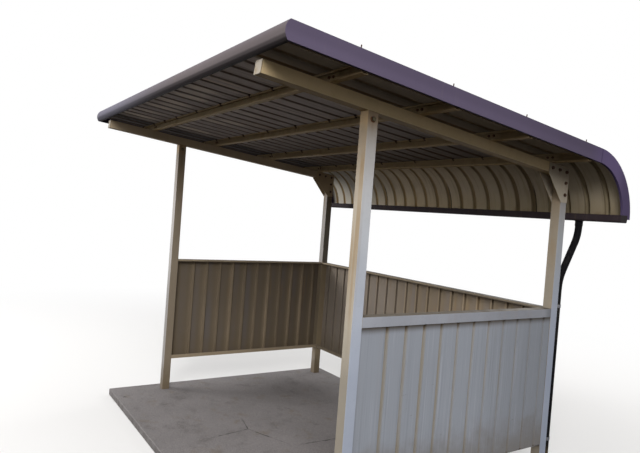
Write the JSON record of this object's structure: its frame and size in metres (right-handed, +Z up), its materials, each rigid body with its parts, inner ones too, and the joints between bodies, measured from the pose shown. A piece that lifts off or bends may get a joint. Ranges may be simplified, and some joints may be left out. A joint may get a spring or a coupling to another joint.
{
  "type": "bicycle shelter",
  "caption": "Open-fronted bicycle shelter: sloped ribbed steel roof with a rounded back edge on square posts, low ribbed walls at both ends and the back, on a concrete slab.",
  "frame": {"origin": "on the ground under the middle of the roof", "axes": "+X along the shelter towards its right end, +Y from the open front towards the back wall, +Z up"},
  "size_m": [3.05, 2.4244, 2.2878],
  "materials": {
    "concrete": "rough cast concrete, weathered",
    "cream_paint": "satin paint, chalky and dirt-streaked",
    "cream_plastic": "matt",
    "roof_sheet": "satin backing coat with light streaks",
    "curve_sheet": "satin cream coat, dusty in the ribs",
    "front_trim": "satin grey-brown paint",
    "gable_trim": "satin purple-brown paint",
    "gutter_brown": "satin dark brown paint",
    "black_plastic": "smooth",
    "wall_sheet": "satin paint, stained along the grooves"
  },
  "bodies": {
    "root": {"base_slab": "concrete", "post_front_left": "cream_paint", "post_front_right": "cream_paint", "post_rear_left": "cream_paint", "post_rear_right": "cream_paint", "rafter_left": "cream_paint", "rafter_right": "cream_paint", "rafter_cap_left": "cream_plastic", "rafter_cap_right": "cream_plastic", "gusset_left_outer": "cream_paint", "gusset_left_inner": "cream_paint", "gusset_right_outer": "cream_paint", "gusset_right_inner": "cream_paint", "purlin_1": "cream_paint", "purlin_2": "cream_paint", "purlin_3": "cream_paint", "purlin_4": "cream_paint", "purlin_clips_left": "cream_paint", "purlin_clips_right": "cream_paint", "roof_sheet_1": "roof_sheet", "roof_sheet_2": "roof_sheet", "roof_sheet_3": "roof_sheet", "roof_sheet_4": "roof_sheet", "rear_curve": "curve_sheet", "front_trim": "front_trim", "gable_trim_left": "gable_trim", "gable_trim_right": "gable_trim", "gable_curve_left": "gable_trim", "gable_curve_right": "gable_trim", "gutter": "gutter_brown", "gutter_cap_left": "gutter_brown", "gutter_cap_right": "gutter_brown", "gutter_outlet": "gutter_brown", "drain_pipe": "black_plastic", "pipe_clips": "cream_paint", "wall_rail_left": "cream_paint", "wall_rail_right": "cream_paint", "wall_rail_rear": "cream_paint", "wall_panel_left": "wall_sheet", "wall_panel_right": "wall_sheet", "wall_panel_rear": "wall_sheet", "foot_rail_left": "cream_paint", "foot_rail_right": "cream_paint", "foot_rail_rear": "cream_paint"}
  },
  "joints": []
}
